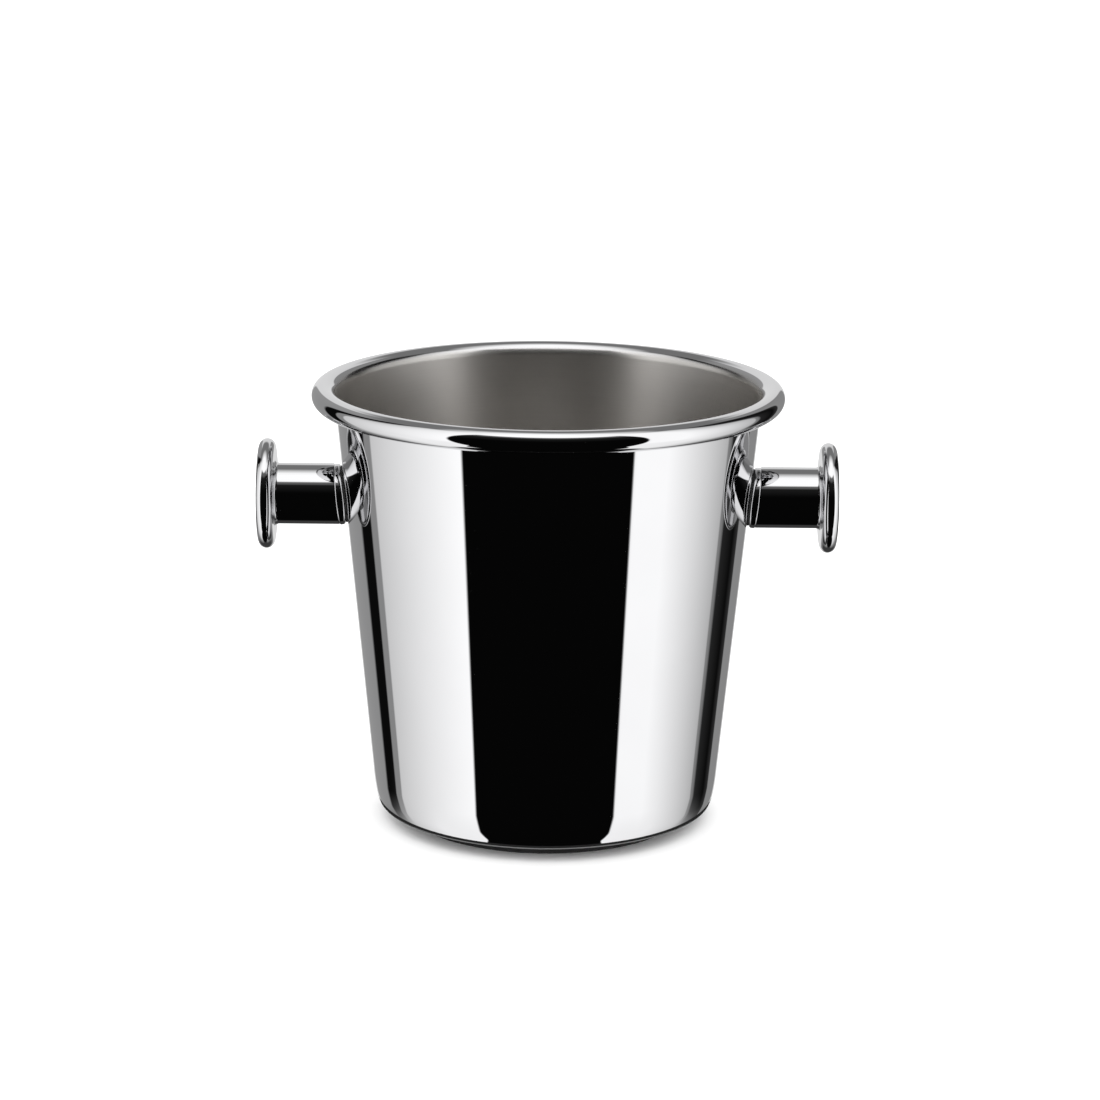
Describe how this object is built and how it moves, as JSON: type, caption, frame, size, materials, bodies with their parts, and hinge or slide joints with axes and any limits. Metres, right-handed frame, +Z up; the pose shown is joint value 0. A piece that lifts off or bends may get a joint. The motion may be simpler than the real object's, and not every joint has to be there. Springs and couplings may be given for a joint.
{
  "type": "champagne bucket",
  "caption": "Tapered mirror-polished steel bucket with a rolled rim and two round spool knobs, for chilling a wine or champagne bottle in ice.",
  "frame": {"origin": "centre of the face that the foot pad rests on", "axes": "+Z up along the bucket's axis, +X along the axis of the right-hand knob, +Y away from the viewer who has that knob on the right"},
  "size_m": [0.2522, 0.2048, 0.1935],
  "materials": {
    "mirror_steel": "mirror polished stainless steel outside and over the rim, satin inside",
    "satin_steel": "plain mill-finish stainless steel, out of sight",
    "turned_steel": "turned and lightly brushed stainless steel",
    "black_rubber": "matt black rubber"
  },
  "bodies": {
    "root": {"bucket_shell": "mirror_steel", "foot_ring": "satin_steel", "foot_pad": "black_rubber", "right_disc_face": "mirror_steel", "right_disc_back": "mirror_steel", "right_stem_tube": "mirror_steel", "right_root_collar": "mirror_steel", "right_gasket": "black_rubber", "right_anchor_plug": "satin_steel", "right_fixing_screw": "turned_steel", "right_saddle_washer": "turned_steel", "right_inner_seal": "black_rubber", "left_disc_face": "mirror_steel", "left_disc_back": "mirror_steel", "left_stem_tube": "mirror_steel", "left_root_collar": "mirror_steel", "left_gasket": "black_rubber", "left_anchor_plug": "satin_steel", "left_fixing_screw": "turned_steel", "left_saddle_washer": "turned_steel", "left_inner_seal": "black_rubber"}
  },
  "joints": []
}
